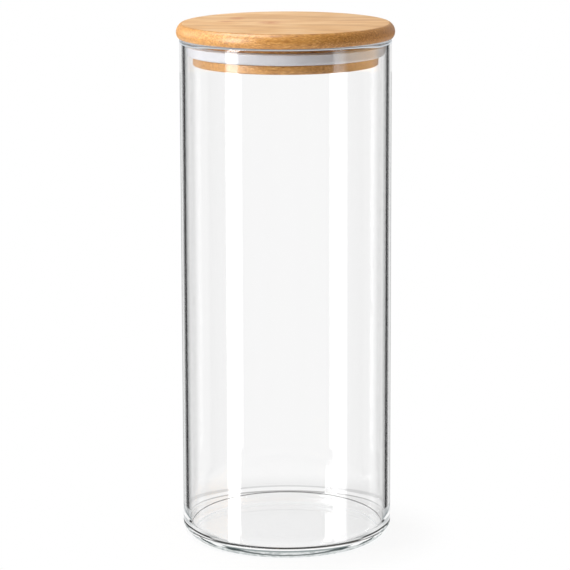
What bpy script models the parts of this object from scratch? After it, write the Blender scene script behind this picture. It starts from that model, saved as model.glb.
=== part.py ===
"""A straight glass storage jar with a bamboo stopper lid and a silicone seal.

Metres, +Z up. The origin is the centre of the jar's underside, and every
piece is turned about the Z axis. The lid lifts out along +Z, and once in
its seal it also turns about Z.
"""

import math

import bpy

# The jar: a blown cylinder with a thicker floor. Both of its base corners are
# quarter ellipses, so that the glass is thickest where the wall meets the floor.
JAR_DIAMETER = 0.100
JAR_HEIGHT = 0.2411
JAR_WALL = 0.00245
JAR_FLOOR = 0.0036
FILLET_WIDTH = 0.00515
FILLET_HEIGHT = 0.0072
CORNER_WIDTH = 0.00455
CORNER_HEIGHT = 0.0073

# The cap: a flat disc with a crisp upper arris and a rolled edge.
CAP_OVERHANG = 0.0015
CAP_THICKNESS = 0.0066
CAP_ROLL_SHARE = 0.63
CAP_TOP_INSET = 0.0025
CAP_FOOT_INSET = 0.0008

# The plug: a disc that drops into the mouth, with the seal's groove in it.
PLUG_PLAY = 0.00385
PLUG_FOOT = 0.0040
PLUG_CHAMFER = 0.0005
GROOVE_DEPTH = 0.0026

# The seal: a ring in the groove, whose outer lip flares up to the glass.
SEAL_DROP = 0.00315
SEAL_HEIGHT = 0.00515
SEAL_ROUND = 0.0016
LIP_FLARE = 0.00075
LIP_THICKNESS = 0.0012
NOTCH_WIDTH = 0.0016
NOTCH_DEPTH_SHARE = 0.6

# Gaps between pieces that touch on the real jar.
SEAT_GAP = 0.0003
GLUE_GAP = 0.0003
SEAL_GAP = 0.0003

# How finely the turned shapes are divided.
TURN_STEPS = 72
CORNER_STEPS = 6
ROLL_STEPS = 5
EDGE_STEPS = 3
MERGE_DISTANCE = 0.000001
SHARP_ANGLE = math.radians(30)

# Worked out from the sizes above.
JAR_RADIUS = JAR_DIAMETER / 2
BORE_RADIUS = JAR_RADIUS - JAR_WALL
CAP_RADIUS = JAR_RADIUS + CAP_OVERHANG
PLUG_RADIUS = BORE_RADIUS - PLUG_PLAY
GROOVE_RADIUS = PLUG_RADIUS - GROOVE_DEPTH
CAP_UNDERSIDE = JAR_HEIGHT + SEAT_GAP
PLUG_TOP = CAP_UNDERSIDE - GLUE_GAP
GROOVE_TOP = SEAL_DROP - GLUE_GAP - SEAL_GAP
GROOVE_BOTTOM = GROOVE_TOP + SEAL_GAP + SEAL_HEIGHT + SEAL_GAP
PLUG_HEIGHT = GROOVE_BOTTOM + PLUG_FOOT
SEAL_BOTTOM = CAP_UNDERSIDE - SEAL_DROP - SEAL_HEIGHT


def ellipse(centre_r, centre_z, wide, tall, start_deg, end_deg, steps):
    """Points (r, z) along an elliptical arc, with 0 degrees pointing outwards."""
    points = []
    for step in range(steps + 1):
        angle = math.radians(start_deg + (end_deg - start_deg) * step / steps)
        points.append((centre_r + wide * math.cos(angle), centre_z + tall * math.sin(angle)))
    return points


def arc(centre_r, centre_z, radius, start_deg, end_deg, steps):
    """Points (r, z) along a circular arc, with 0 degrees pointing outwards."""
    return ellipse(centre_r, centre_z, radius, radius, start_deg, end_deg, steps)


def bulge(equator_r, equator_z, inset, rise, steps):
    """Points from the upright equator to a rim that lies inset and rise away."""
    radius = (inset * inset + rise * rise) / (2 * inset)
    sweep = math.degrees(math.asin(rise / radius))
    return arc(equator_r - radius, equator_z, radius, 0, sweep, steps)


def finish(name, colour, roughness, transmission=0.0, ior=1.5):
    """A plain material in the piece's own colour."""
    material = bpy.data.materials.new(name)
    material.use_nodes = True
    shader = material.node_tree.nodes["Principled BSDF"]
    shader.inputs["Base Color"].default_value = (*colour, 1.0)
    shader.inputs["Roughness"].default_value = roughness
    shader.inputs["Metallic"].default_value = 0.0
    shader.inputs["Transmission Weight"].default_value = transmission
    shader.inputs["IOR"].default_value = ior
    material.diffuse_color = (*colour, 1.0 - transmission / 2)
    return material


def turn(name, outline, closed, material, parent, height):
    """One solid turned from an outline of (r, z) points, with z from height.

    The outline runs down the outer side. An open one starts and ends on the
    axis, and a closed one makes a ring.
    """
    corners = [(r, 0, z) for r, z in outline]
    edges = [(i, i + 1) for i in range(len(corners) - 1)]
    if closed:
        edges.append((len(corners) - 1, 0))
    profile = bpy.data.meshes.new(name + "_profile")
    profile.from_pydata(corners, edges, [])
    piece = bpy.data.objects.new(name, profile)
    PARTS.objects.link(piece)
    screw = piece.modifiers.new("turn", "SCREW")
    screw.axis = "Z"
    screw.steps = TURN_STEPS
    screw.render_steps = TURN_STEPS
    screw.use_merge_vertices = True
    screw.merge_threshold = MERGE_DISTANCE
    bpy.context.view_layer.update()
    graph = bpy.context.evaluated_depsgraph_get()
    solid = bpy.data.meshes.new_from_object(piece.evaluated_get(graph))
    solid.name = name
    solid.shade_smooth()
    solid.set_sharp_from_angle(angle=SHARP_ANGLE)
    solid.materials.append(material)
    piece.modifiers.clear()
    piece.data = solid
    bpy.data.meshes.remove(profile)
    piece.parent = parent
    piece.location.z = height
    return piece


def joint_empty(name, parent, height):
    """An empty on the Z axis that carries the pieces that move together."""
    empty = bpy.data.objects.new(name, None)
    empty.empty_display_size = JAR_RADIUS
    PARTS.objects.link(empty)
    empty.parent = parent
    empty.location.z = height
    return empty


def make_jar():
    """Floor, inner fillet, bore, round rim, outer wall and base corner."""
    fillet_r = BORE_RADIUS - FILLET_WIDTH
    fillet_z = JAR_FLOOR + FILLET_HEIGHT
    corner_r = JAR_RADIUS - CORNER_WIDTH
    rim_round = JAR_WALL / 2
    rim_r = BORE_RADIUS + rim_round
    outline = [(0, JAR_FLOOR)]
    outline += ellipse(fillet_r, fillet_z, FILLET_WIDTH, FILLET_HEIGHT, -90, 0, CORNER_STEPS)
    outline += arc(rim_r, JAR_HEIGHT - rim_round, rim_round, 180, 0, CORNER_STEPS)
    outline += ellipse(corner_r, CORNER_HEIGHT, CORNER_WIDTH, CORNER_HEIGHT, 0, -90, CORNER_STEPS)
    outline.append((0, 0))
    glass = finish("clear_glass", (0.95, 0.98, 0.98), 0.0, transmission=1.0, ior=1.47)
    return turn("glass_jar", outline, False, glass, None, 0)


def make_cap(parent, height):
    """The disc above the glass, with its height 0 at the underside."""
    roll = CAP_THICKNESS * CAP_ROLL_SHARE
    foot = CAP_THICKNESS - roll
    upper = bulge(CAP_RADIUS, foot, CAP_TOP_INSET, roll, ROLL_STEPS)
    lower = bulge(CAP_RADIUS, foot, CAP_FOOT_INSET, -foot, ROLL_STEPS)
    outline = [(0, CAP_THICKNESS)] + upper[::-1] + lower[1:] + [(0, 0)]
    return turn("lid_cap", outline, False, BAMBOO, parent, height)


def make_plug(parent, height):
    """The disc in the mouth, with its height 0 at the top face."""
    edge = PLUG_RADIUS - PLUG_CHAMFER
    outline = [
        (0, 0),
        (PLUG_RADIUS, 0),
        (PLUG_RADIUS, -GROOVE_TOP),
        (GROOVE_RADIUS, -GROOVE_TOP),
        (GROOVE_RADIUS, -GROOVE_BOTTOM),
        (PLUG_RADIUS, -GROOVE_BOTTOM),
        (PLUG_RADIUS, PLUG_CHAMFER - PLUG_HEIGHT),
        (edge, -PLUG_HEIGHT),
        (0, -PLUG_HEIGHT),
    ]
    return turn("lid_plug", outline, False, BAMBOO, parent, height)


def make_seal(parent, height):
    """The ring in the groove, with its height 0 at the bottom face."""
    inner = GROOVE_RADIUS + SEAL_GAP
    lip_tip = BORE_RADIUS - SEAL_GAP
    lip_root = lip_tip - LIP_FLARE
    notch_outer = lip_tip - LIP_THICKNESS
    notch_inner = notch_outer - NOTCH_WIDTH
    notch_middle = (notch_inner + notch_outer - LIP_FLARE) / 2
    outline = [(lip_tip, SEAL_HEIGHT)]
    outline += arc(lip_root - SEAL_ROUND, SEAL_ROUND, SEAL_ROUND, 0, -90, EDGE_STEPS)
    outline += [
        (inner, 0),
        (inner, SEAL_HEIGHT),
        (notch_inner, SEAL_HEIGHT),
        (notch_middle, SEAL_HEIGHT * (1 - NOTCH_DEPTH_SHARE)),
        (notch_outer, SEAL_HEIGHT),
    ]
    silicone = finish("white_silicone", (0.78, 0.78, 0.80), 0.45, ior=1.41)
    return turn("seal_ring", outline, True, silicone, parent, height)


for old in list(bpy.data.objects):
    bpy.data.objects.remove(old, do_unlink=True)

PARTS = bpy.data.collections.new("glass_storage_jar")
bpy.context.scene.collection.children.link(PARTS)
BAMBOO = finish("bamboo", (0.78, 0.55, 0.31), 0.5)

jar = make_jar()
lift = joint_empty("lid_lift_joint", jar, CAP_UNDERSIDE)
make_seal(lift, SEAL_BOTTOM - CAP_UNDERSIDE)
spin = joint_empty("lid_turn_joint", lift, 0)
make_cap(spin, 0)
make_plug(spin, PLUG_TOP - CAP_UNDERSIDE)
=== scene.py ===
# %% [markdown]
# A glass storage jar with a bamboo stopper lid. The jar is one blown piece of
# clear glass. The lid is a bamboo cap glued to a bamboo plug, and a white
# silicone ring sits in the plug's groove. This script dresses the plain solids
# of the working model with finer shapes, procedural materials and light.

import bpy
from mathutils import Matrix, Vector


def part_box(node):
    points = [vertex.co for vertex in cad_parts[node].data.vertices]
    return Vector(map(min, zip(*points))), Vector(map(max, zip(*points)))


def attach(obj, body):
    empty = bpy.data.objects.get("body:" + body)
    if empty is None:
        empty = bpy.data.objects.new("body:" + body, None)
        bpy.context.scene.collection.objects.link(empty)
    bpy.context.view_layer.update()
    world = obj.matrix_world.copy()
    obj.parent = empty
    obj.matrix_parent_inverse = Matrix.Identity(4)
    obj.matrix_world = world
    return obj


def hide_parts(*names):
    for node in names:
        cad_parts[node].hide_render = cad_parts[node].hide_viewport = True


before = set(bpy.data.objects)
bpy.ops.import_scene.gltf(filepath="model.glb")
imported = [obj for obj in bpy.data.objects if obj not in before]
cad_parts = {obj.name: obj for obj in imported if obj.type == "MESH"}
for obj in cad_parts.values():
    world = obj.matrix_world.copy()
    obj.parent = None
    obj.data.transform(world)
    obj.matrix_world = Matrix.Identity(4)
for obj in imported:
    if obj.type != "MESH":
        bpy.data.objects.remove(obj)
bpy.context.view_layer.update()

# %% Modules, units and the boxes of the four solids
import math

import bmesh
import bpy
from mathutils import Matrix, Vector

MM = 0.001
JAR_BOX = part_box("glass_jar")
CAP_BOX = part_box("lid_cap")
PLUG_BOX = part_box("lid_plug")
SEAL_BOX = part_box("seal_ring")
SCENE = bpy.context.scene
RIM_TOP = JAR_BOX[1].z
print("glass radius", JAR_BOX[1].x, "rim at", RIM_TOP)

# %% [markdown]
# The camera comes first, because everything is judged through it. The
# photograph was taken from a little above the rim with a long lens, so the
# ellipses are flat at the top and rounder at the base. The values were fitted
# to the outline of the glass, the lid's edges and the base's curve.

# %% Camera
CAMERA_PLACE = (-0.6 * MM, -1418 * MM, 404.7 * MM)
CAMERA_PITCH = 11.265
CAMERA_ROLL = -0.166
CAMERA_LENS = 191.14
SENSOR_WIDTH = 36
SIGHT = 20

camera_data = bpy.data.cameras.new("photo_camera")
camera_data.lens = CAMERA_LENS
camera_data.sensor_width = SENSOR_WIDTH
camera_data.clip_end = SIGHT
camera = bpy.data.objects.new("photo_camera", camera_data)
SCENE.collection.objects.link(camera)
tilt = Matrix.Rotation(math.radians(90 - CAMERA_PITCH), 4, "X")
roll = Matrix.Rotation(math.radians(CAMERA_ROLL), 4, "Z")
camera.matrix_world = Matrix.Translation(CAMERA_PLACE) @ tilt @ roll
SCENE.camera = camera
print("camera at", CAMERA_PLACE)

# %% [markdown]
# Materials are built from nodes. A few short helpers keep the later cells
# readable: each one adds a node, sets or links its inputs, and gives back the
# socket that the next node needs.

# %% Node helpers
def feed(tree, socket, value):
    """Links a socket's value, or sets a plain one."""
    if isinstance(value, bpy.types.NodeSocket):
        tree.links.new(value, socket)
    else:
        socket.default_value = value


def calc(tree, operation, *values):
    """A Math node on up to three values."""
    node = tree.nodes.new("ShaderNodeMath")
    node.operation = operation
    for socket, value in zip(node.inputs, values):
        feed(tree, socket, value)
    return node.outputs["Value"]


def product(tree, *values):
    """All the values multiplied."""
    result = values[0]
    for value in values[1:]:
        result = calc(tree, "MULTIPLY", result, value)
    return result


def rest(tree, value):
    """What the value leaves of 1."""
    return calc(tree, "SUBTRACT", 1, value)


def reach(tree, x, y):
    """How far (x, y) lies from the axis."""
    squares = [calc(tree, "POWER", side, 2) for side in (x, y)]
    return calc(tree, "POWER", calc(tree, "ADD", *squares), 0.5)


def step_between(tree, value, low, high):
    """A smooth step from 0 at low to 1 at high."""
    node = tree.nodes.new("ShaderNodeMapRange")
    node.interpolation_type = "SMOOTHSTEP"
    feed(tree, node.inputs["Value"], value)
    feed(tree, node.inputs["From Min"], low)
    feed(tree, node.inputs["From Max"], high)
    return node.outputs["Result"]


def blend(tree, factor, first, second, mode="MIX"):
    """A colour mix."""
    node = tree.nodes.new("ShaderNodeMix")
    node.data_type = "RGBA"
    node.blend_type = mode
    feed(tree, node.inputs["Factor"], factor)
    feed(tree, node.inputs["A"], first)
    feed(tree, node.inputs["B"], second)
    return node.outputs["Result"]


def ramp(tree, value, stops):
    """A colour ramp with (position, colour) stops."""
    node = tree.nodes.new("ShaderNodeValToRGB")
    elements = node.color_ramp.elements
    while len(elements) < len(stops):
        elements.new(1)
    for element, (position, colour) in zip(elements, stops):
        element.position = position
        element.color = (*colour, 1)
    feed(tree, node.inputs["Fac"], value)
    return node.outputs["Color"]


def split(tree, vector):
    """The x, y and z of a vector."""
    node = tree.nodes.new("ShaderNodeSeparateXYZ")
    tree.links.new(vector, node.inputs["Vector"])
    return node.outputs["X"], node.outputs["Y"], node.outputs["Z"]


def stretch(tree, vector, scale, shift=(0, 0, 0)):
    """A Mapping node that scales and shifts a pattern's coordinates."""
    node = tree.nodes.new("ShaderNodeMapping")
    node.inputs["Scale"].default_value = scale
    node.inputs["Location"].default_value = shift
    tree.links.new(vector, node.inputs["Vector"])
    return node.outputs["Vector"]


def noise(tree, vector, scale=1, detail=2, roughness=0.5, distortion=0):
    """A noise texture's value, about 0.3 to 0.7."""
    node = tree.nodes.new("ShaderNodeTexNoise")
    feed(tree, node.inputs["Vector"], vector)
    node.inputs["Scale"].default_value = scale
    node.inputs["Detail"].default_value = detail
    node.inputs["Roughness"].default_value = roughness
    node.inputs["Distortion"].default_value = distortion
    return node.outputs["Fac"]


def bump(tree, height, strength, distance):
    """A normal bent by a height."""
    node = tree.nodes.new("ShaderNodeBump")
    node.inputs["Strength"].default_value = strength
    node.inputs["Distance"].default_value = distance
    tree.links.new(height, node.inputs["Height"])
    return node.outputs["Normal"]


def grey(level):
    """A neutral colour."""
    return (level, level, level)


def mix_shaders(tree, share, first, second):
    """Two shaders mixed, with the second one's share."""
    node = tree.nodes.new("ShaderNodeMixShader")
    feed(tree, node.inputs["Fac"], share)
    tree.links.new(first, node.inputs[1])
    tree.links.new(second, node.inputs[2])
    return node.outputs["Shader"]


def cover(tree, beneath, share, colour):
    """A glow of a colour over a share of the shader beneath it."""
    glow = tree.nodes.new("ShaderNodeEmission")
    tree.links.new(colour, glow.inputs["Color"])
    return mix_shaders(tree, share, beneath, glow.outputs["Emission"])


print("node helpers ready")

# %% [markdown]
# A group is a small program made of nodes, with named sockets. Its inside is
# wired once, and each material places it with its own values. The first helper
# makes an empty group, and the second one puts a group into a tree.

# %% Group helpers
def new_group(name, inputs, outputs):
    """An empty shader group with (name, socket type, default) inputs."""
    group = bpy.data.node_groups.new(name, "ShaderNodeTree")
    for label, kind, default in inputs:
        socket = group.interface.new_socket(label, in_out="INPUT", socket_type=kind)
        if default is not None:
            socket.default_value = default
    for label, kind in outputs:
        group.interface.new_socket(label, in_out="OUTPUT", socket_type=kind)
    entry = group.nodes.new("NodeGroupInput")
    leave = group.nodes.new("NodeGroupOutput")
    return group, entry.outputs, leave.inputs


def place_group(tree, group, **values):
    """The group in a tree, with inputs fed by name (underscores are spaces)."""
    node = tree.nodes.new("ShaderNodeGroup")
    node.node_tree = group
    for name, value in values.items():
        feed(tree, node.inputs[name.replace("_", " ")], value)
    return node.outputs


def new_material(name):
    """A material with an empty tree, its Principled shader and its output."""
    print("material", name)
    material = bpy.data.materials.new(name)
    material.use_nodes = True
    tree = material.node_tree
    tree.nodes.clear()
    shader = tree.nodes.new("ShaderNodeBsdfPrincipled")
    output = tree.nodes.new("ShaderNodeOutputMaterial")
    tree.links.new(shader.outputs["BSDF"], output.inputs["Surface"])
    return material, tree, shader, output


print("group helpers ready")

# %% [markdown]
# Every piece of the jar is turned about one axis. Each starts as a wire of a
# few corners in the XZ plane. Bevelling a single corner of the wire rounds it
# with its own radius, and one spin of the wire makes the solid. Beside each
# rounded corner the wire gets a holding point: it keeps the smooth shading of
# the corner from leaning into the long straight faces, which would make the
# glass lose light along its edges.

# %% Turning helpers
TURN_STEPS = 256
SHARP = math.radians(30)
HOLD = 0.3 * MM
DOUBLES = 0.001 * MM


def section(corners, closed=False):
    """A wire of (radius, height, rounding, steps) corners in a new bmesh."""
    bm = bmesh.new()
    spots = [Vector((r, 0, z)) for r, z, _, _ in corners]
    rounds = [rounding for _, _, rounding, _ in corners]
    verts, marked = [], []
    for i, (here, (_, _, rounding, steps)) in enumerate(zip(spots, corners)):
        for j in (i - 1, i + 1):
            if j == i + 1:
                corner = bm.verts.new(here)
                verts.append(corner)
                if rounding:
                    marked.append((corner, rounding, steps))
            ends = not closed and (j < 0 or j == len(spots))
            if rounding and not ends:
                way = spots[j % len(spots)] - here
                if way.length > rounding + rounds[j % len(spots)] + 3 * HOLD:
                    verts.append(bm.verts.new(here + way.normalized() * (rounding + HOLD)))
    for a, b in zip(verts, verts[1:]):
        bm.edges.new((a, b))
    if closed:
        bm.edges.new((verts[-1], verts[0]))
    for corner, rounding, steps in marked:
        bmesh.ops.bevel(
            bm, geom=[corner], offset=rounding, offset_type="OFFSET", affect="VERTICES",
            segments=steps, profile=0.5, material=-1,
        )
    return bm


def base_corner(bm, height, centre_r, centre_z, width, steps):
    """Replaces the wire's square corner at a height with a quarter ellipse.

    One vertex below the centre is spun into a quarter circle, which is then
    squashed to the width. Its two ends are joined to the rest of the wire.
    """
    tall = centre_z - height
    old = set(bm.verts)
    foot = bm.verts.new((centre_r, 0, height))
    bmesh.ops.spin(
        bm, geom=[foot], cent=(centre_r, 0, centre_z), axis=(0, -1, 0),
        angle=math.pi / 2, steps=steps,
    )
    new = [v for v in bm.verts if v not in old]
    bmesh.ops.scale(
        bm, vec=(width / tall, 1, 1), verts=new,
        space=Matrix.Translation((-centre_r, 0, -centre_z)),
    )
    head = max(new, key=lambda v: v.co.z)
    hold = bm.verts.new(head.co + Vector((0, 0, HOLD)))
    bm.edges.new((head, hold))
    return foot, hold


def turned_piece(name, bm, body, node, material):
    """Spins the wire into a closed solid that stands for one CAD node."""
    bmesh.ops.spin(
        bm, geom=list(bm.verts) + list(bm.edges), cent=(0, 0, 0), axis=(0, 0, 1),
        angle=math.tau, steps=TURN_STEPS, use_merge=True,
    )
    bmesh.ops.remove_doubles(bm, verts=bm.verts, dist=DOUBLES)
    bmesh.ops.recalc_face_normals(bm, faces=bm.faces)
    mesh = bpy.data.meshes.new(name)
    bm.to_mesh(mesh)
    bm.free()
    mesh.shade_smooth()
    mesh.set_sharp_from_angle(angle=SHARP)
    mesh.materials.append(material)
    piece = bpy.data.objects.new(name, mesh)
    SCENE.collection.objects.link(piece)
    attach(piece, body)
    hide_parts(node)
    print(name, len(mesh.polygons), "faces")
    return piece


# %% [markdown]
# Clear glass shows thin pale and dark lines where it is thick. Most of them
# come from real refraction in the modelled shape. A few don't, and those are
# painted on the glass as a glow that covers a share of it: painted highlights
# and painted dark lines that stand in for refraction. Their place comes from
# two masks: one on the height, and one on how far the wall turns away from the
# eye. The jar is round, so it then looks alike from every side.

# %% Masks for the painted lines
JAR_RADIUS = JAR_BOX[1].x
JAR_WALL = 2.45 * MM
BORE_RADIUS = JAR_RADIUS - JAR_WALL


def between(tree, value, low, high, soft):
    """1 where the value lies between low and high, with soft ends outside them."""
    rise = step_between(tree, value, low - soft, low)
    fall = step_between(tree, value, high, high + soft)
    return product(tree, rise, rest(tree, fall))


print("bore radius", BORE_RADIUS)

# %% [markdown]
# A painted glow stands for light that travels up inside the wall and comes out
# at the rim: a pale bluish line all round. Where the wall turns away from the
# eye, a painted dark bluish band lies above it, painted shade for the dark
# underside of the cap seen in the glass. The colour and the share follow the
# way down from the rim's top. Where the wall turns away from the eye the line
# sags a little, as the eye there looks through the rim's whole rounding.

# %% Painted light at the rim of the glass
RIM_MIDDLE, RIM_SAG, RIM_LOWEST = 0.26 * MM, 6.0 * MM, 1.8 * MM
RIM_SPAN = 2.6 * MM
RIM_START = 0.75
# Painted shade and painted glow of the rim; no lamp makes them.
RIM_PAINTED_SHADE, RIM_PAINTED_GLOW = (0.20, 0.23, 0.26), (0.66, 0.70, 0.74)
RIM_PAINTED_TONES = [(0, RIM_PAINTED_SHADE), (0.58, RIM_PAINTED_SHADE), (0.64, RIM_PAINTED_GLOW), (1, RIM_PAINTED_GLOW)]
RIM_SHARES = [(0, 0.35), (0.58, 0.5), (0.64, 0.92), (0.86, 0.92), (0.91, 0)]


def painted_rim_light(tree, height, turned):
    """Colour and share of the painted glow and painted shade at the rim."""
    line = calc(tree, "MULTIPLY_ADD", calc(tree, "POWER", turned, 2), RIM_SAG, RIM_MIDDLE)
    line = calc(tree, "MINIMUM", line, RIM_LOWEST)
    down = calc(tree, "SUBTRACT", calc(tree, "SUBTRACT", RIM_TOP, height), line)
    down = calc(tree, "ADD", calc(tree, "DIVIDE", down, RIM_SPAN), RIM_START)
    share = ramp(tree, down, [(stop, grey(part)) for stop, part in RIM_SHARES])
    return ramp(tree, down, RIM_PAINTED_TONES), share


print("rim line", RIM_MIDDLE, "below the top")

# %% [markdown]
# The foot has the most painted lines, painted light and painted shade that
# stand in for refraction in the thick glass: one strong dark line where the
# wall meets the outer corner, pale ones above and below it, short dashes that
# come and go round the jar, a speckled grey band in the thick glass under them,
# a pale foot near the outline, and a faint dark edge along the wall's outline
# higher up. Each row of the table draws one. Heights are in millimetres above
# the table, or are measured from a slanted line, and turns run from 0, where
# the wall faces the eye, to 1 at its outline. Later rows cover earlier ones.

# %% Painted lines of the foot
WHITE, NEAR_WHITE, BLACK = (1, 1, 1), (0.97, 0.97, 0.97), (0.03, 0.03, 0.03)
LINE_EDGE = (0.6, 0.6, 0.6, 1)
# Painted pale and dark speckles for the thick glass of the foot.
PAINTED_PALE_FLECKS = [(0.35, (0.42, 0.46, 0.46)), (0.60, (0.74, 0.77, 0.77))]
PAINTED_DARK_FLECKS = [(0.40, (0.16, 0.19, 0.19)), (0.56, (0.75, 0.78, 0.78))]
FLECK_SCALE = (420, 420, 700)
MAIN_RISE, MAIN_START, MAIN_TOP = 2.9, 6.1, 7.95
STEEP_RISE, SLANT_RISE, FLARE = 15, 11.6, 0.058
ALL_ROUND = (-1, 2, 0.1)
# Each row paints one line of light or shade on the glass.
PAINTED_FOOT_LINES = [
    # measured from, (lowest, highest, softness), (from turn, to turn, softness), share, tone
    ("table", (-1.0, 5.0, 0.2), ALL_ROUND, 0.80, PAINTED_PALE_FLECKS),
    ("main line", (0.3, 3.2, 0.2), (0.62, 2, 0.10), 0.75, PAINTED_DARK_FLECKS),
    ("table", (5.1, 5.5, 0.2), ALL_ROUND, 0.85, WHITE),
    ("table", (4.15, 4.75, 0.2), (-1, 0.32, 0.04), 0.95, (0.30, 0.34, 0.34)),
    ("table", (5.55, 5.75, 0.15), (0.28, 0.37, 0.03), 0.80, (0.30, 0.32, 0.32)),
    ("main line", (0.35, 1.1, 0.2), (0.40, 0.60, 0.08), 0.80, NEAR_WHITE),
    ("table", (3.2, 4.3, 0.2), (0.27, 0.365, 0.02), 0.95, (0.05, 0.07, 0.07)),
    ("table", (2.0, 3.4, 0.2), (0.275, 0.325, 0.02), 0.95, (0.12, 0.14, 0.14)),
    ("table", (4.15, 4.85, 0.2), (0.35, 0.42, 0.02), 0.95, WHITE),
    ("steep line", (-3.325, -2.325, 0.25), (0.455, 0.53, 0.02), 0.95, (0.03, 0.05, 0.05)),
    ("main line", (-0.38, 0.38, 0.2), (0.38, 2, 0.08), 0.95, BLACK),
    ("main line", (-1.9, -0.5, 0.2), (0.50, 2, 0.30), 0.75, (0.98, 0.98, 0.98)),
    ("table", (9.5, 16.0, 1.0), (0.68, 2, 0.08), 0.60, (0.72, 0.74, 0.75)),
    ("table", (11.0, 12.6, 0.4), (0.66, 0.90, 0.04), 0.90, WHITE),
    ("slanted line", (4.325, 5.125, 0.3), (0.64, 0.90, 0.03), 0.85, (0.34, 0.38, 0.39)),
    ("table", (10.4, 11.4, 0.2), (0.635, 0.675, 0.02), 0.90, BLACK),
    ("flare", (-1.0, 6.2, 0.4), (0.45, 2, 0.03), 0.93, (0.97, 0.975, 0.975)),
    ("table", (16.0, 225.0, 1.0), (0.87, 2, 0.04), 0.30, (0.12, 0.14, 0.14)),
]


def painted_foot_lines(tree, place, z, turned):
    """Colour and share of the painted light and shade lines, with z in millimetres."""
    main = calc(tree, "MULTIPLY_ADD", turned, MAIN_RISE, MAIN_START)
    main = calc(tree, "MINIMUM", main, MAIN_TOP)
    measures = {
        "table": (z, turned),
        "main line": (calc(tree, "SUBTRACT", main, z), turned),
        "steep line": (calc(tree, "MULTIPLY_ADD", turned, -STEEP_RISE, z), turned),
        "slanted line": (calc(tree, "MULTIPLY_ADD", turned, -SLANT_RISE, z), turned),
        "flare": (z, calc(tree, "MULTIPLY_ADD", z, -FLARE, turned)),
    }
    fleck = noise(tree, stretch(tree, place, FLECK_SCALE), detail=2)
    colour, share = LINE_EDGE, 0.0
    for measure, heights, turns, strength, tone in PAINTED_FOOT_LINES:
        up, round_jar = measures[measure]
        mask = product(tree, between(tree, up, *heights), between(tree, round_jar, *turns))
        tone = ramp(tree, fleck, tone) if isinstance(tone, list) else (*tone, 1)
        colour = blend(tree, mask, colour, tone)
        share = calc(tree, "MAXIMUM", share, product(tree, mask, strength))
    return colour, share


print(len(PAINTED_FOOT_LINES), "lines at the foot")

# %% [markdown]
# On the far side the edge of the floor shows through the near wall as one fine
# dark ring. It is painted shade, drawn on the bore alone, for rays that have
# come through the near wall and meet the far one from its open side. The eye
# sees the far wall past the floor, so the ring drops a little towards the
# outline.

# %% Painted far ring of the floor
RING_HEIGHT, RING_FALL = 7.6, 2.4
RING_HALF, RING_SOFT = 0.12, 0.15
RING_SHARE = 0.8
# Tone of the painted dark ring.
FAR_RING_PAINTED_SHADE = (0.06, 0.06, 0.06, 1)
BORE_REACH = BORE_RADIUS + 0.1 * MM


def painted_far_ring(tree, place, z, turned, path):
    """Share of the painted dark ring on the far side of the bore."""
    x, y, _ = split(tree, place)
    inner = calc(tree, "LESS_THAN", reach(tree, x, y), BORE_REACH)
    inside = tree.nodes.new("ShaderNodeNewGeometry").outputs["Backfacing"]
    level = calc(tree, "MULTIPLY_ADD", turned, RING_FALL, z)
    ring = between(tree, level, RING_HEIGHT - RING_HALF, RING_HEIGHT + RING_HALF, RING_SOFT)
    return product(tree, ring, inner, rest(tree, inside), path["Is Transmission Ray"], RING_SHARE)


print("far ring", RING_HEIGHT, "mm up")

# %% [markdown]
# The glass itself is a Principled shader with full transmission. Light on its
# way from a lamp can't find a bent path through glass, so plain glass would
# throw a black shadow. For shadow and diffuse rays the shader gives way to a
# faintly grey transparent one, and the eye still sees the real refraction. A
# ray that keeps mirroring inside the wall would end in black after four
# bounces. It gets a glow instead, in thin level stripes, as thick glass shows
# at its foot. The painted lines of light and shade go over this, for what the
# camera sees directly.

# %% Glass material
GLASS_VEIL = (0.95, 0.96, 0.97, 1)
GLASS_STRIPES = [
    (0.0, (0.30, 0.32, 0.32)), (0.10, (0.86, 0.88, 0.88)), (0.20, (0.40, 0.44, 0.44)),
    (0.30, (0.82, 0.84, 0.84)), (0.42, (0.58, 0.61, 0.62)), (0.55, (0.86, 0.87, 0.87)),
    (0.70, (0.66, 0.69, 0.70)), (1.0, (0.80, 0.82, 0.83)),
]
STRIPE_SPAN = 12 * MM
STRIPE_WAVE = 2.5 * MM
WAVE_SCALE = (60, 60, 5)
LAST_BOUNCE = 3.5


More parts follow.
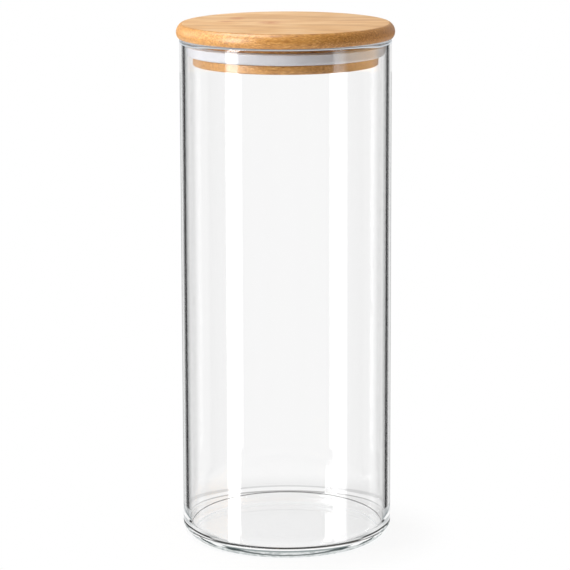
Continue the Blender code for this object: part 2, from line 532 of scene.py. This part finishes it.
def clear_glass():
    material, tree, shader, output = new_material("clear_glass")
    shader.inputs["Base Color"].default_value = (1, 1, 1, 1)
    shader.inputs["Roughness"].default_value = 0
    shader.inputs["IOR"].default_value = 1.47
    shader.inputs["Transmission Weight"].default_value = 1
    path = tree.nodes.new("ShaderNodeLightPath").outputs
    turned = tree.nodes.new("ShaderNodeLayerWeight").outputs["Facing"]
    place = tree.nodes.new("ShaderNodeTexCoord").outputs["Object"]
    height = split(tree, place)[2]
    z = calc(tree, "DIVIDE", height, MM)

    # stripes for rays that have mirrored too often
    wave = calc(tree, "SUBTRACT", noise(tree, stretch(tree, place, WAVE_SCALE), detail=1), 0.5)
    level = calc(tree, "MULTIPLY_ADD", wave, STRIPE_WAVE, height)
    stripes = ramp(tree, calc(tree, "DIVIDE", level, STRIPE_SPAN), GLASS_STRIPES)
    tired = calc(tree, "GREATER_THAN", path["Glossy Depth"], LAST_BOUNCE)
    glass = cover(tree, shader.outputs["BSDF"], tired, stripes)

    # the painted light and shade lines of the foot, the painted far ring and the painted rim
    # light
    colour, share = painted_foot_lines(tree, place, z, turned)
    share = product(tree, share, path["Is Camera Ray"])
    ring = painted_far_ring(tree, place, z, turned, path)
    colour = blend(tree, step_between(tree, ring, 0, 0.05), colour, FAR_RING_PAINTED_SHADE)
    glass = cover(tree, glass, calc(tree, "MAXIMUM", share, ring), colour)
    colour, share = painted_rim_light(tree, height, turned)
    glass = cover(tree, glass, product(tree, share, path["Is Camera Ray"]), colour)

    # a light veil for the rays that carry the lamps' light
    veil = tree.nodes.new("ShaderNodeBsdfTransparent")
    veil.inputs["Color"].default_value = GLASS_VEIL
    lighting = calc(tree, "MAXIMUM", path["Is Shadow Ray"], path["Is Diffuse Ray"])
    glass = mix_shaders(tree, lighting, glass, veil.outputs["BSDF"])
    tree.links.new(glass, output.inputs["Surface"])
    return material


# %% [markdown]
# The jar is a straight cylinder that was blown in a mould, with its rim melted
# round in a flame. The wall is thin and even. At the base the glass flows
# together, so it is thickest where the wall meets the floor: inside and outside
# the corner is a quarter of an ellipse. The rest of the section is a few points,
# and the two upper ones are rounded by just under half the wall each.

# %% Glass jar
JAR_FLOOR = 3.6 * MM
FILLET_WIDTH, FILLET_HEIGHT = 5.15 * MM, 7.2 * MM
CORNER_WIDTH, CORNER_HEIGHT = 4.55 * MM, 7.3 * MM
RIM_ROUND = JAR_WALL * 0.499
RIM_STEPS = 12
BASE_STEPS = 36


def glass_jar():
    bm = section([
        (BORE_RADIUS, RIM_TOP / 2, 0, 0),
        (BORE_RADIUS, RIM_TOP, RIM_ROUND, RIM_STEPS),
        (JAR_RADIUS, RIM_TOP, RIM_ROUND, RIM_STEPS),
        (JAR_RADIUS, RIM_TOP / 2, 0, 0),
    ])
    inner_r, inner_z = BORE_RADIUS - FILLET_WIDTH, JAR_FLOOR + FILLET_HEIGHT
    inner_foot, inner_head = base_corner(
        bm, JAR_FLOOR, inner_r, inner_z, FILLET_WIDTH, BASE_STEPS,
    )
    outer_r = JAR_RADIUS - CORNER_WIDTH
    outer_foot, outer_head = base_corner(
        bm, 0, outer_r, CORNER_HEIGHT, CORNER_WIDTH, BASE_STEPS,
    )
    waist = [v for v in bm.verts if abs(v.co.z - RIM_TOP / 2) < HOLD]
    waist.sort(key=lambda v: v.co.x)
    bm.edges.new((inner_head, waist[0]))
    bm.edges.new((outer_head, waist[1]))
    for foot in (inner_foot, outer_foot):
        hold = bm.verts.new(foot.co - Vector((HOLD, 0, 0)))
        bm.edges.new((foot, hold))
        bm.edges.new((hold, bm.verts.new((0, 0, foot.co.z))))
    return turned_piece("jar_glass", bm, "jar", "glass_jar", clear_glass())


glass_jar()

# %% [markdown]
# The seal is moulded white silicone: a soft satin surface, with a very fine
# dull texture left by the mould. Silicone isn't quite opaque. Light enters it
# and comes out a little further on, which is what Subsurface is for, and it
# keeps the ring pale in the shade of the cap.

# %% Silicone material
def white_silicone():
    material, tree, shader, output = new_material("white_silicone")
    coords = tree.nodes.new("ShaderNodeTexCoord")
    place = coords.outputs["Object"]
    cloud = noise(tree, place, scale=90, detail=3)
    dust = noise(tree, place, scale=2600, detail=2)
    colour = ramp(tree, cloud, [(0.3, (0.63, 0.62, 0.64)), (0.7, (0.68, 0.67, 0.69))])
    rough = calc(tree, "MULTIPLY_ADD", cloud, 0.2, 0.3)
    tree.links.new(colour, shader.inputs["Base Color"])
    tree.links.new(rough, shader.inputs["Roughness"])
    tree.links.new(bump(tree, dust, 0.15, 0.05 * MM), shader.inputs["Normal"])
    shader.inputs["IOR"].default_value = 1.41
    shader.inputs["Subsurface Weight"].default_value = 0.35
    shader.inputs["Subsurface Radius"].default_value = (1, 0.95, 0.9)
    shader.inputs["Subsurface Scale"].default_value = 1.2 * MM
    return material


# %% [markdown]
# The silicone ring has a square heel that sits in the plug's groove and a thin
# lip that leans out to the glass. A V-shaped notch in its top lets the lip
# bend as the lid is pushed in. The heel stands a hair higher than the lip, and
# nearly fills the gap that the plain solid leaves under the groove's roof.

# %% Silicone seal
LIP_FLARE = 0.75 * MM
LIP_THICKNESS = 1.2 * MM
NOTCH_WIDTH = 1.6 * MM
NOTCH_FOOT = 0.4
SEAL_ROUND = 1.6 * MM
LIP_ROUND = 0.25 * MM
GROOVE_DEPTH = 2.6 * MM
SEAL_GAP = 0.3 * MM
SEAL_RISE = 0.25 * MM
SEAL_LOW, SEAL_HIGH = SEAL_BOX[0].z, SEAL_BOX[1].z
PLUG_RADIUS = PLUG_BOX[1].x
GROOVE_RADIUS = PLUG_RADIUS - GROOVE_DEPTH


def silicone_seal():
    tip = SEAL_BOX[1].x
    inner = GROOVE_RADIUS + SEAL_GAP
    notch = tip - LIP_THICKNESS
    middle = notch - (NOTCH_WIDTH + LIP_FLARE) / 2
    bm = section([
        (tip, SEAL_HIGH, LIP_ROUND, 4),
        (tip - LIP_FLARE, SEAL_LOW, SEAL_ROUND, 12),
        (inner, SEAL_LOW, 0, 0),
        (inner, SEAL_HIGH + SEAL_RISE, 0, 0),
        (notch - NOTCH_WIDTH, SEAL_HIGH + SEAL_RISE, LIP_ROUND, 4),
        (middle, SEAL_LOW + (SEAL_HIGH - SEAL_LOW) * NOTCH_FOOT, LIP_ROUND, 4),
        (notch, SEAL_HIGH, LIP_ROUND, 4),
    ], closed=True)
    silicone = white_silicone()
    return turned_piece("seal_silicone", bm, "seal", "seal_ring", silicone)


silicone_seal()

# %% [markdown]
# Bamboo board is glued from strips. In each strip, thin hard fibres run along
# the grain, and they show as dots where the board is cut across. One group
# makes the pattern from Object coordinates: the same noise, stretched along
# the grain, gives streaks on the flat faces and dots on the cut ends. Both
# boards use it, each with its own strips.

# %% Bamboo grain group
FACE_TONES = [(0.38, (0.70, 0.35, 0.11)), (0.49, (0.85, 0.48, 0.18)), (0.61, (0.95, 0.62, 0.32))]
CUT_TONES = [
    (0.30, (0.26, 0.09, 0.015)), (0.44, (0.52, 0.23, 0.048)),
    (0.55, (0.66, 0.32, 0.080)), (0.68, (0.86, 0.52, 0.19)),
]
BUNDLE_TONE = (0.36, 0.14, 0.03, 1)
SEAM_TONE = (0.35, 0.17, 0.06, 1)
STAIN_TONE = (0.62, 0.22, 0.05, 1)
EDGE_FADE = 0.4 * MM


def bamboo_grain():
    group, given, out = new_group(
        "bamboo_grain",
        [
            ("Place", "NodeSocketVector", None),
            ("Flat Radius", "NodeSocketFloat", 1.0),
            ("Strip Width", "NodeSocketFloat", 0.018),
            ("Strip Shift", "NodeSocketFloat", 0.0),
            ("Stain", "NodeSocketFloat", 0.0),
        ],
        [
            ("Color", "NodeSocketColor"),
            ("Roughness", "NodeSocketFloat"),
            ("Height", "NodeSocketFloat"),
        ],
    )
    place = given["Place"]
    x, y, z = split(group, place)

    # strips: a number for each board, and a thin seam between two
    across = calc(group, "ADD", y, given["Strip Shift"])
    across = calc(group, "DIVIDE", across, given["Strip Width"])
    number = calc(group, "FLOOR", across)
    chance = group.nodes.new("ShaderNodeTexWhiteNoise")
    chance.noise_dimensions = "1D"
    group.links.new(number, chance.inputs["W"])
    strip_tone = chance.outputs["Value"]
    edge = calc(group, "ABSOLUTE", calc(group, "SUBTRACT", calc(group, "FRACT", across), 0.5))
    seam = step_between(group, edge, 0.485, 0.497)

    # grain: broad tones, long streaks and short fibre dashes
    broad = noise(group, stretch(group, place, (45, 160, 160)), detail=3)
    streak = noise(group, stretch(group, place, (30, 900, 900)), detail=4, roughness=0.6)
    short = stretch(group, place, (420, 1900, 1900))
    dash = noise(group, short, detail=3, roughness=0.65, distortion=0.4)

    # bundles: the dark ends of the fibres
    cells = group.nodes.new("ShaderNodeTexVoronoi")
    cells.feature = "F1"
    group.links.new(stretch(group, place, (160, 1150, 1150)), cells.inputs["Vector"])
    cells.inputs["Scale"].default_value = 1
    bundle = rest(group, step_between(group, cells.outputs["Distance"], 0.18, 0.42))

    # the routed rim shows cut fibres, the flat face is planed along them
    edge_start = calc(group, "SUBTRACT", given["Flat Radius"], EDGE_FADE)
    rim = step_between(group, reach(group, x, y), edge_start, given["Flat Radius"])
    face = calc(group, "MULTIPLY_ADD", broad, 0.6, product(group, streak, 0.4))
    face = ramp(group, face, FACE_TONES)
    cut = calc(group, "MULTIPLY_ADD", dash, 0.7, product(group, streak, 0.3))
    cut = ramp(group, cut, CUT_TONES)
    cut = blend(group, product(group, bundle, 0.5), cut, BUNDLE_TONE)
    colour = blend(group, rim, face, cut)
    shade = calc(group, "MULTIPLY_ADD", strip_tone, 0.10, 0.93)
    tint = group.nodes.new("ShaderNodeCombineColor")
    for socket in tint.inputs:
        group.links.new(shade, socket)
    colour = blend(group, 1, colour, tint.outputs["Color"], "MULTIPLY")
    colour = blend(group, product(group, seam, 0.25), colour, SEAM_TONE)
    colour = blend(group, given["Stain"], colour, STAIN_TONE)
    group.links.new(colour, out["Color"])

    rough = calc(group, "MULTIPLY_ADD", streak, 0.25, 0.24)
    group.links.new(rough, out["Roughness"])
    height = calc(group, "MULTIPLY_ADD", bundle, -0.5, dash)
    group.links.new(height, out["Height"])
    return group


BAMBOO_GRAIN = bamboo_grain()
print("group", BAMBOO_GRAIN.name)

# %% [markdown]
# The cap is the best board of the lid. A bamboo cane has a joint every hand's
# width or so, and where one was planed away it leaves a short brown mark. Three
# soft ovals stand for the marks on this cap. A thin coat gives the sanded and
# oiled wood its low sheen.

# %% Bamboo of the cap
KNUCKLE_STRENGTH = 0.85
KNUCKLES = [
    ((-7.0 * MM, -0.5 * MM), 7.5 * MM, 8 * MM),
    ((-23.0 * MM, 18.5 * MM), 5 * MM, 7 * MM),
    ((-28.0 * MM, 4.0 * MM), 5 * MM, 4 * MM),
]


def knuckle(tree, place, centre, half_length, half_width):
    """A soft oval mark on the top face."""
    moved = stretch(
        tree, place, (1 / half_length, 1 / half_width, 0),
        (-centre[0] / half_length, -centre[1] / half_width, 0),
    )
    length = tree.nodes.new("ShaderNodeVectorMath")
    length.operation = "LENGTH"
    tree.links.new(moved, length.inputs[0])
    return rest(tree, step_between(tree, length.outputs["Value"], 0.2, 1.1))


def bamboo(name, flat_radius, strip_width, strip_shift, marks=()):
    """Bamboo board with the grain along X, and a mark for each knuckle."""
    material, tree, shader, output = new_material(name)
    coords = tree.nodes.new("ShaderNodeTexCoord")
    place = coords.outputs["Object"]
    stain = 0.0
    for mark in marks:
        spot = product(tree, knuckle(tree, place, *mark), KNUCKLE_STRENGTH)
        stain = calc(tree, "MAXIMUM", stain, spot)
    if marks:
        fleck = noise(tree, stretch(tree, place, (300, 700, 1)), detail=2)
        stain = product(tree, stain, step_between(tree, fleck, 0.3, 0.5))
    grain = place_group(
        tree, BAMBOO_GRAIN, Place=place, Flat_Radius=flat_radius,
        Strip_Width=strip_width, Strip_Shift=strip_shift, Stain=stain,
    )
    tree.links.new(grain["Color"], shader.inputs["Base Color"])
    tree.links.new(grain["Roughness"], shader.inputs["Roughness"])
    tree.links.new(bump(tree, grain["Height"], 0.25, 0.15 * MM), shader.inputs["Normal"])
    shader.inputs["Coat Weight"].default_value = 0.2
    shader.inputs["Coat Roughness"].default_value = 0.3
    return material


print("knuckle marks", len(KNUCKLES))

# %% [markdown]
# The cap is a disc with a crisp upper arris, just taken off with sandpaper so
# that it catches the light. Below it the edge bulges out to its widest line and
# pulls in again, as a router leaves it. Each side of the bulge is an arc, made
# by spinning one vertex about a point inside the disc, and a small bevel of the
# wire's upper corner softens the arris.

# %% Bamboo cap
CAP_RADIUS = CAP_BOX[1].x
CAP_TOP = CAP_BOX[1].z
CAP_UNDERSIDE = CAP_BOX[0].z
CAP_ROLL_SHARE = 0.63
CAP_ROLL = (CAP_TOP - CAP_UNDERSIDE) * CAP_ROLL_SHARE
CAP_TOP_INSET = 2.5 * MM
CAP_FOOT_INSET = 0.8 * MM
CAP_ARRIS = 0.5 * MM


def roll_edge(bm, start, inset, rise, steps):
    """Draws an arc from the upright equator to an edge inset and rise away."""
    radius = (inset * inset + rise * rise) / (2 * inset)
    bmesh.ops.spin(
        bm, geom=[start], cent=(start.co.x - radius, 0, start.co.z), axis=(0, -1, 0),
        angle=math.asin(rise / radius), steps=steps,
    )


def bamboo_cap():
    bm = bmesh.new()
    equator = bm.verts.new((CAP_RADIUS, 0, CAP_TOP - CAP_ROLL))
    roll_edge(bm, equator, CAP_TOP_INSET, CAP_ROLL, 9)
    roll_edge(bm, equator, CAP_FOOT_INSET, CAP_UNDERSIDE - equator.co.z, 8)
    ends = [v for v in bm.verts if len(v.link_edges) == 1]
    for end in ends:
        bm.edges.new((end, bm.verts.new((0, 0, end.co.z))))
    arris = max(ends, key=lambda v: v.co.z)
    bmesh.ops.bevel(
        bm, geom=[arris], offset=CAP_ARRIS, offset_type="OFFSET", affect="VERTICES",
        segments=4, profile=0.5, material=-1,
    )
    wood = bamboo("bamboo_cap", CAP_RADIUS - CAP_TOP_INSET, 18.5 * MM, 7 * MM, KNUCKLES)
    return turned_piece("cap_bamboo", bm, "lid", "lid_cap", wood)


bamboo_cap()

# %% [markdown]
# The plug is a thicker disc glued under the cap. It has a groove for the seal,
# and its lower edge is just broken so that it slips into the mouth.

# %% Bamboo plug
PLUG_BOTTOM = PLUG_BOX[0].z
PLUG_EDGE = 0.5 * MM
PLUG_BREAK = 0.2 * MM


def bamboo_plug():
    groove_top = SEAL_HIGH + SEAL_GAP
    groove_bottom = SEAL_LOW - SEAL_GAP
    bm = section([
        (0, CAP_UNDERSIDE, 0, 0),
        (PLUG_RADIUS, CAP_UNDERSIDE, 0, 0),
        (PLUG_RADIUS, groove_top, PLUG_BREAK, 3),
        (GROOVE_RADIUS, groove_top, 0, 0),
        (GROOVE_RADIUS, groove_bottom, 0, 0),
        (PLUG_RADIUS, groove_bottom, PLUG_BREAK, 3),
        (PLUG_RADIUS, PLUG_BOTTOM, PLUG_EDGE, 4),
        (0, PLUG_BOTTOM, 0, 0),
    ])
    wood = bamboo("bamboo_plug", PLUG_RADIUS - PLUG_EDGE, 21 * MM, 3 * MM)
    return turned_piece("plug_bamboo", bm, "lid", "lid_plug", wood)


bamboo_plug()

# %% [markdown]
# The studio is drawn by direction, as seen from the jar. Glass shows two
# things: the white backdrop straight through it, and a faint mirror image of
# the room. The white comes only for camera rays and for rays that went straight
# through. Rays that were mirrored at least once see the room.

# %% Path tests, as a group for the floor and the world
def path_tests():
    group, given, out = new_group(
        "path_tests",
        [
            ("Camera", "NodeSocketFloat", 0.0),
            ("Transmission", "NodeSocketFloat", 0.0),
            ("Singular", "NodeSocketFloat", 0.0),
            ("Mirrored", "NodeSocketFloat", 0.0),
        ],
        [("Sees White", "NodeSocketFloat"), ("Sees Room", "NodeSocketFloat")],
    )
    mirrored = calc(group, "GREATER_THAN", given["Mirrored"], 0.5)
    through = product(group, given["Transmission"], rest(group, mirrored))
    white = calc(group, "MAXIMUM", given["Camera"], through)
    group.links.new(white, out["Sees White"])
    group.links.new(product(group, given["Singular"], mirrored), out["Sees Room"])
    return group


PATH_TESTS = path_tests()


def test_path(tree):
    """Whether a ray sees the white backdrop, and whether it sees the room."""
    path = tree.nodes.new("ShaderNodeLightPath").outputs
    tests = place_group(
        tree, PATH_TESTS, Camera=path["Is Camera Ray"], Transmission=path["Is Transmission Ray"],
        Singular=path["Is Singular Ray"], Mirrored=path["Glossy Depth"],
    )
    return tests["Sees White"], tests["Sees Room"]


print("group", PATH_TESTS.name)

# %% [markdown]
# The room that sharp reflections show is drawn by its angle from the camera's
# side, in degrees: a grey front, two tall strip lights, grey walls, a black
# flag on each side that draws the dark line along the glass's edge, and the
# pale backdrop behind. Reflections that look far out, nearly level, see past
# the table's end to the dark room and its warm side.

# %% Mirrored room
ROOM_TONES = [
    (0, 0.50), (72, 0.50), (76, 0.42), (104, 0.42), (107, 0.85), (117, 0.85), (120, 0.58),
    (135, 0.55), (138, 0.02), (155.4, 0.02), (157, 0.85), (180, 0.82),
]
RIGHT_WALL = (73, 105, 0.55)
STRIP_LEFT = (53.5, 68.5, 6.0)
STRIP_RIGHT = (53.5, 70.0, 3.0)
STRIP_ENDS = (0.29, 0.36)
STRIP_HEAD = (-0.06, 0.02)
CEILING = (0.45, 0.75)
CEILING_TONE = (0.26, 0.30, 0.33, 1)
TABLE_END = (-0.1262, -0.1254)
DARK_FRONT = (-50, 50, 0.2, 20)
WARM_SIDE = (66, 116, 12)
WARM_TONE = (2.0, 1.3, 0.65, 1)


def band(tree, angle, low, high, soft=0.6):
    """1 where the angle is between low and high, with soft ends across them."""
    rise = step_between(tree, angle, low - soft, low + soft)
    fall = step_between(tree, angle, high - soft, high + soft)
    return calc(tree, "SUBTRACT", rise, fall)


def dimmed(tree, mask, level):
    """1 outside the mask, and the level inside it."""
    return rest(tree, product(tree, mask, 1 - level))


def strip_lights(tree, turn, z):
    """Brightness of the two strips, which end above and below the jar."""
    low, high, strength = STRIP_LEFT
    left = product(tree, band(tree, turn, -high, -low), strength)
    low, high, strength = STRIP_RIGHT
    right = product(tree, band(tree, turn, low, high), strength)
    tall = rest(tree, step_between(tree, calc(tree, "ABSOLUTE", z), *STRIP_ENDS))
    head = step_between(tree, product(tree, z, -1), *STRIP_HEAD)
    return product(tree, calc(tree, "ADD", left, right), product(tree, tall, head))


def mirrored_room(tree, turn, z):
    """The room's colour at a turn, for a direction's upward share z."""
    side = calc(tree, "DIVIDE", calc(tree, "ABSOLUTE", turn), 180)
    tones = ramp(tree, side, [(angle / 180, grey(tone)) for angle, tone in ROOM_TONES])
    low, high, dim = RIGHT_WALL
    walls = product(tree, tones, dimmed(tree, band(tree, turn, low, high), dim))
    level = calc(tree, "ADD", strip_lights(tree, turn, z), walls)
    steep = step_between(tree, calc(tree, "ABSOLUTE", z), *CEILING)
    near = blend(tree, steep, level, CEILING_TONE)
    low, high, dim, soft = DARK_FRONT
    dark = product(tree, level, dimmed(tree, band(tree, turn, low, high, soft), dim))
    beyond = blend(tree, band(tree, turn, *WARM_SIDE), dark, WARM_TONE)
    return blend(tree, step_between(tree, z, *TABLE_END), near, beyond)


print("room tones", len(ROOM_TONES))

# %% [markdown]
# The world picks what each ray sees. The camera and straight rays through the
# glass see the white backdrop, sharp reflections see the room, and diffuse
# light gets a weak grey that is a little warmer on the right. The satin sheen
# on wood and silicone comes from blurred reflections. They see a pale backdrop
# behind and a bright window on the left.

# %% World
AMBIENT_TURN = (-0.8, 0.8)
AMBIENT_LEFT = (0.20, 0.205, 0.21, 1)
AMBIENT_RIGHT = (0.17, 0.155, 0.135, 1)
SHEEN_BEHIND = (-0.1, 0.3)
SHEEN_BACKDROP = (0.42, 0.42, 0.42, 1)
SHEEN_WINDOW = (-135, -35, 8)
SHEEN_TONE = (2.4, 2.4, 2.4, 1)


def studio_world():
    world = bpy.data.worlds.new("studio")
    SCENE.world = world
    world.use_nodes = True
    tree = world.node_tree
    x, y, z = split(tree, tree.nodes.new("ShaderNodeTexCoord").outputs["Generated"])
    turn = calc(tree, "DEGREES", calc(tree, "ARCTAN2", x, product(tree, y, -1)))
    ambient = blend(tree, step_between(tree, x, *AMBIENT_TURN), AMBIENT_LEFT, AMBIENT_RIGHT)
    sheen = blend(tree, step_between(tree, y, *SHEEN_BEHIND), ambient, SHEEN_BACKDROP)
    sheen = blend(tree, band(tree, turn, *SHEEN_WINDOW), sheen, SHEEN_TONE)
    glossy = tree.nodes.new("ShaderNodeLightPath").outputs["Is Glossy Ray"]
    colour = blend(tree, glossy, ambient, sheen)
    white, sees_room = test_path(tree)
    colour = blend(tree, white, colour, (1, 1, 1, 1))
    colour = blend(tree, sees_room, colour, mirrored_room(tree, turn, z))
    tree.links.new(colour, tree.nodes["Background"].inputs["Color"])
    return world


print("world", studio_world().name)

# %% [markdown]
# The floor is a plain white sweep. For the camera it is its own white, and
# round the jar a share of real shading leaves the jar its shadow. Light that
# glass gathers makes pale and dark rings on a table, close round the base:
# they are painted light and painted shadow, drawn by the distance from the
# axis, for rays that come through the glass. Mirrored rays see the floor only
# under the jar, as painted rings with a painted dark contact shadow where the
# base leaves the table. Beyond that it lets them pass, so that the strip lights
# show down to the base.

# %% Floor
FLOOR_HALF = 4.0
FLOOR_GAP = 0.1 * MM
SHADED = (51 * MM, 85 * MM, 0.16)
MIRROR_EDGE = 56 * MM
RING_SPAN = 120 * MM
# Painted light and painted shadow rings round the base, for rays through the glass.
PAINTED_FLOOR_RINGS = [
    (0, 1.0), (46, 1.0), (49, 0.93), (65.2, 0.95), (66, 0.45), (68.6, 0.45), (69.4, 1.0),
    (82, 0.97), (83, 0.70), (88, 0.70), (89, 0.90), (104, 0.97), (112, 1.0),
]
# Painted rings under the jar, with a painted contact shadow from 45.3 to 47.4 mm.
PAINTED_UNDER_RINGS = [
    (0, 0.95), (29, 0.90), (31, 0.62), (38, 0.60), (42, 0.55), (42.4, 0.93), (45, 0.93),
    (45.3, 0.03), (47.4, 0.03), (47.8, 0.75), (50, 0.60), (56, 0.60),
]


def painted_floor_rings(tree, distance, rings):
    """Painted light and shade of (radius in millimetres, level) rings about the axis."""
    far = calc(tree, "DIVIDE", distance, RING_SPAN)
    return ramp(tree, far, [(radius * MM / RING_SPAN, grey(level)) for radius, level in rings])


def floor():
    bm = bmesh.new()
    bmesh.ops.create_grid(bm, x_segments=1, y_segments=1, size=FLOOR_HALF)
    bmesh.ops.translate(bm, verts=bm.verts, vec=(0, 0, -FLOOR_GAP))
    mesh = bpy.data.meshes.new("floor")
    bm.to_mesh(mesh)
    bm.free()
    material, tree, shader, output = new_material("white_floor")
    shader.inputs["Base Color"].default_value = (0.88, 0.88, 0.88, 1)
    shader.inputs["Roughness"].default_value = 0.9
    shader.inputs["Specular IOR Level"].default_value = 0
    coords = tree.nodes.new("ShaderNodeTexCoord")
    flat = tree.nodes.new("ShaderNodeVectorMath")
    flat.operation = "LENGTH"
    tree.links.new(coords.outputs["Object"], flat.inputs[0])
    distance = flat.outputs["Value"]
    white, sees_room = test_path(tree)

    # seen directly: its own white with a share of shading, or painted light and shadow rings
    # through the glass
    camera_ray = tree.nodes.new("ShaderNodeLightPath").outputs["Is Camera Ray"]
    rings = painted_floor_rings(tree, distance, PAINTED_FLOOR_RINGS)
    seen = blend(tree, rest(tree, camera_ray), (1, 1, 1, 1), rings)
    near, wide, share = SHADED
    shaded = product(tree, rest(tree, step_between(tree, distance, near, wide)), share)
    own_white = product(tree, white, rest(tree, shaded))
    direct = cover(tree, shader.outputs["BSDF"], own_white, seen)

    # seen in a reflection: only what lies under the jar, as painted rings with a painted contact
    # shadow
    clear = tree.nodes.new("ShaderNodeBsdfTransparent").outputs["BSDF"]
    beneath = calc(tree, "LESS_THAN", distance, MIRROR_EDGE)
    mirrored = cover(tree, clear, beneath, painted_floor_rings(tree, distance, PAINTED_UNDER_RINGS))
    whole = mix_shaders(tree, sees_room, direct, mirrored)
    tree.links.new(whole, output.inputs["Surface"])
    mesh.materials.append(material)
    piece = bpy.data.objects.new("floor", mesh)
    SCENE.collection.objects.link(piece)
    return piece


print("floor", floor().name)

# %% [markdown]
# Four soft lamps light the bamboo and the silicone: a tall key from the front
# left, a weak broad one from the left side, a broad one overhead, and a weak
# warm fill from the right. They are hidden from the camera and from mirror-sharp
# rays, because the glass already sees the strip lights of the room. The two at
# the sides are hidden from every reflection and from rays through glass, where
# they would show as pale panels in views from behind.

# %% Lamps
def soft_lamp(name, place, aim, size, power, colour=(1, 1, 1), mirrored=True):
    """A rectangular lamp at a place, turned to its aim, with its power in watts."""
    data = bpy.data.lights.new(name, "AREA")
    data.shape = "RECTANGLE"
    data.size, data.size_y = size
    data.energy = power
    data.color = colour
    data.use_nodes = True
    tree = data.node_tree
    glow = tree.nodes["Emission"]
    path = tree.nodes.new("ShaderNodeLightPath")
    seen = rest(tree, path.outputs["Is Singular Ray"])
    tree.links.new(seen, glow.inputs["Strength"])
    lamp = bpy.data.objects.new(name, data)
    lamp.visible_camera = False
    lamp.visible_glossy = mirrored
    lamp.visible_transmission = mirrored
    SCENE.collection.objects.link(lamp)
    lamp.location = place
    lamp.rotation_euler = (Vector(aim) - Vector(place)).to_track_quat("-Z", "Y").to_euler()
    return lamp


LID_FRONT, LID_TOP, SHOULDER = (0, 0, 0.22), (0, 0, 0.24), (0, 0, 0.2)
WARM_LIGHT = (1, 0.75, 0.55)
soft_lamp("key", (-0.98, -0.66, 0.55), LID_FRONT, (0.35, 0.9), 14)
soft_lamp("side", (-1.18, 0.21, 0.4), LID_FRONT, (0.9, 0.9), 2, mirrored=False)
soft_lamp("overhead", (-0.45, 0.05, 1.35), LID_TOP, (0.8, 0.8), 12)
soft_lamp("fill", (1.19, 0.1, 0.35), SHOULDER, (0.9, 0.9), 4, WARM_LIGHT, mirrored=False)

# %% [markdown]
# Last, colours are shown just as they are written.

# %% Finish
SCENE.view_settings.view_transform = "Standard"
